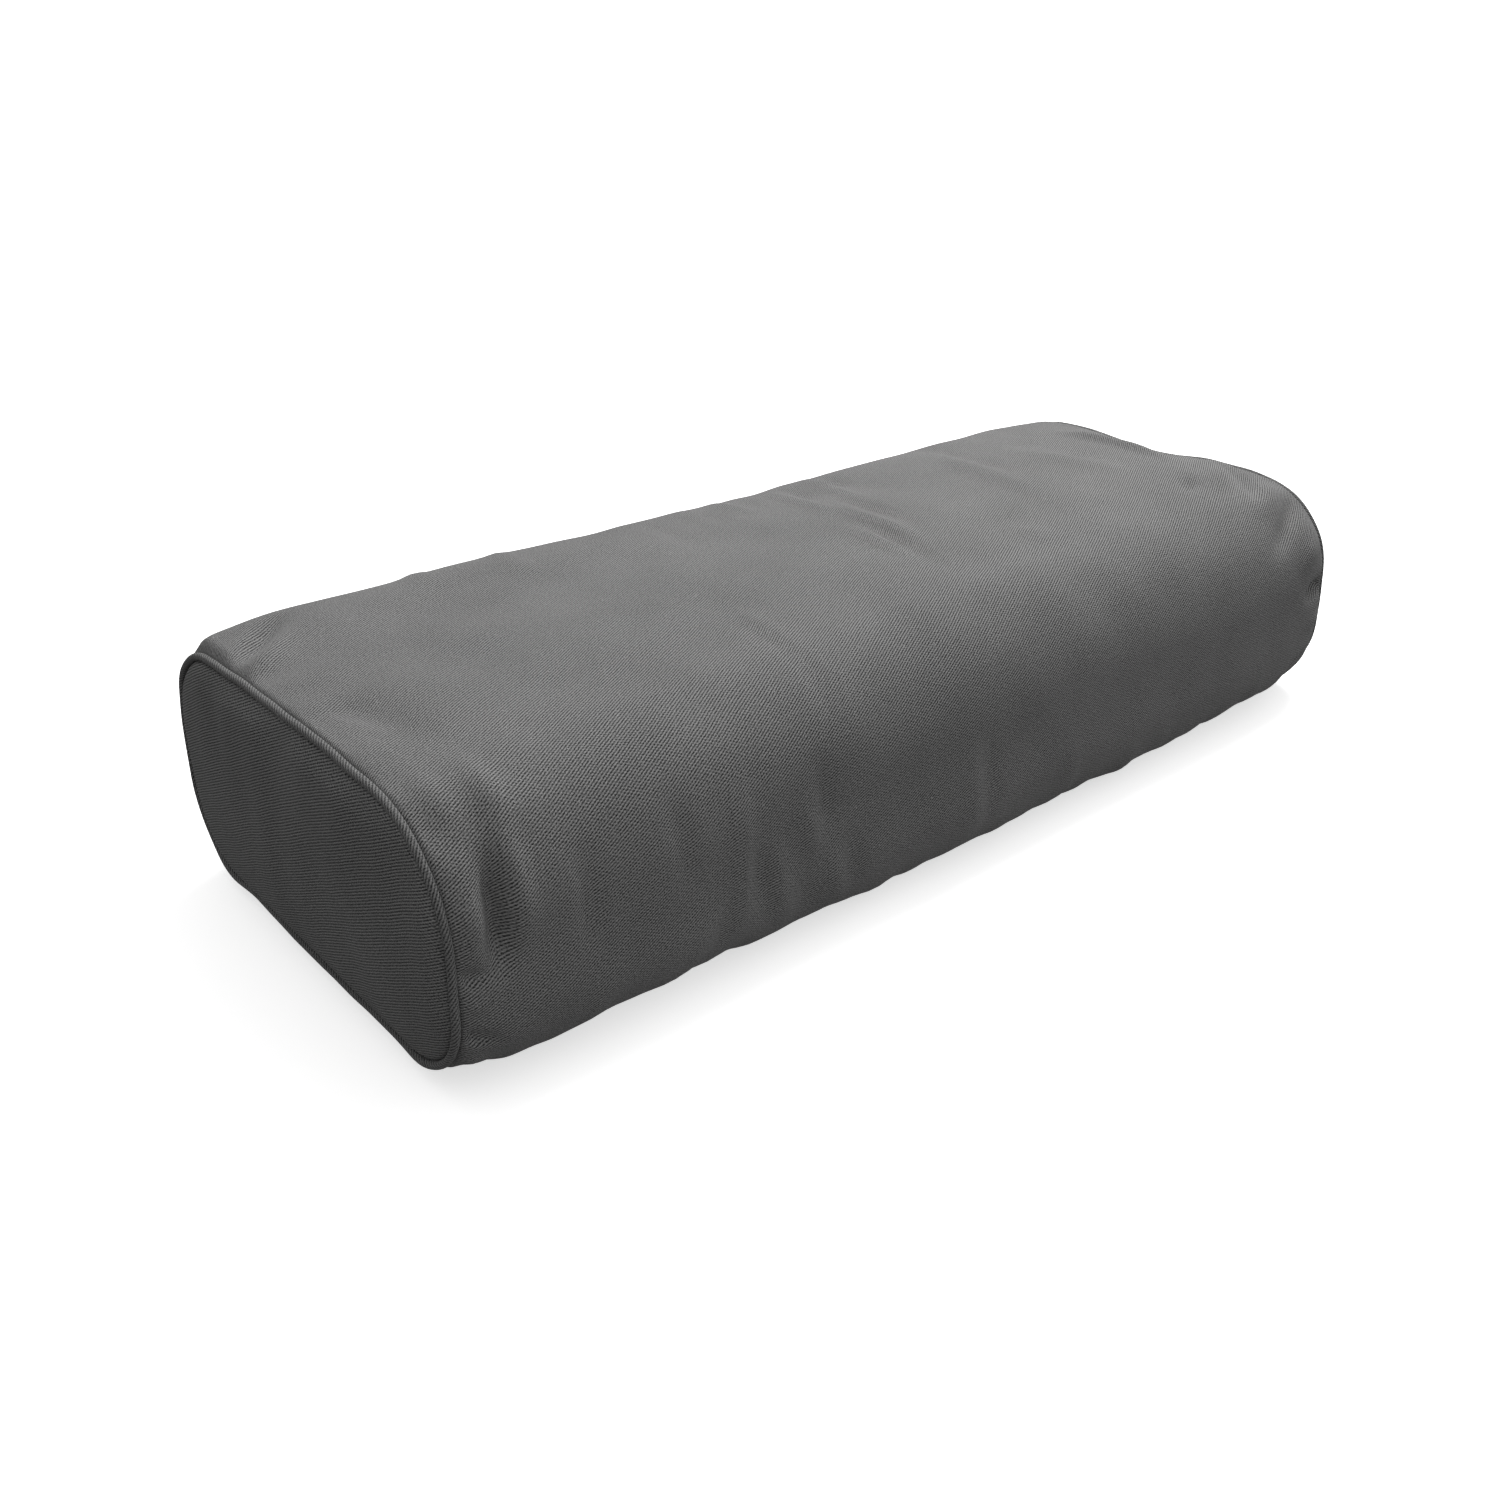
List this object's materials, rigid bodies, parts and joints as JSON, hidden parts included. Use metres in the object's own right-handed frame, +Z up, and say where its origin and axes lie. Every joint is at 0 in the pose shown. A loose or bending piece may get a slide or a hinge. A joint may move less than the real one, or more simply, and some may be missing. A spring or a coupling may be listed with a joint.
{
  "type": "bolster pillow",
  "caption": "Rectangular bolster pillow with rounded long edges, a twill cover with piped end panels and a zip low on the back, round a wadded foam cushion.",
  "frame": {"origin": "middle of the flat face that the bolster rests on", "axes": "+X along the bolster, +Y across it to the side with the zip, +Z up"},
  "size_m": [0.6596, 0.3, 0.1499],
  "materials": {
    "cover_cloth": "charcoal grey cotton twill",
    "piping_cloth": "charcoal grey cotton twill cut on the bias",
    "cotton_cord": "twisted cotton piping cord",
    "thread": "grey polyester sewing thread",
    "zip_tape": "dark woven polyester tape",
    "zip_coil": "dark nylon coil",
    "zip_metal": "gunmetal-plated zinc",
    "calico": "unbleached plain-weave cotton",
    "wadding": "soft bonded fibre",
    "foam": "open-cell polyurethane foam"
  },
  "bodies": {
    "cushion": {"cover_wrap": "cover_cloth", "end_panel_left": "cover_cloth", "end_panel_right": "cover_cloth", "piping_left": "piping_cloth", "piping_right": "piping_cloth", "piping_cord_left": "cotton_cord", "piping_cord_right": "cotton_cord", "end_seam_left": "thread", "end_seam_right": "thread", "zip_tape_upper": "zip_tape", "zip_tape_lower": "zip_tape", "zip_coil_upper": "zip_coil", "zip_coil_lower": "zip_coil", "zip_top_stops": "zip_metal", "zip_bottom_stop": "zip_metal", "topstitch_upper": "thread", "topstitch_lower": "thread", "bag_wrap": "calico", "bag_end_left": "calico", "bag_end_right": "calico", "wadding_wrap": "wadding", "wadding_end_left": "wadding", "wadding_end_right": "wadding", "foam_core": "foam"},
    "slider": {"zip_slider": "zip_metal"},
    "pull": {"zip_pull": "zip_metal"}
  },
  "joints": [
    {"name": "zip_slide", "type": "slide", "parent": "cushion", "child": "slider", "axis": [-1, 0, 0], "range_m": [0, 0.49]},
    {"name": "pull_swing", "type": "hinge", "parent": "slider", "child": "pull", "pos_m": [0.247, 0.14263, 0.02539], "axis": [0, -0.5, -0.866], "range_deg": [0, 165]}
  ]
}
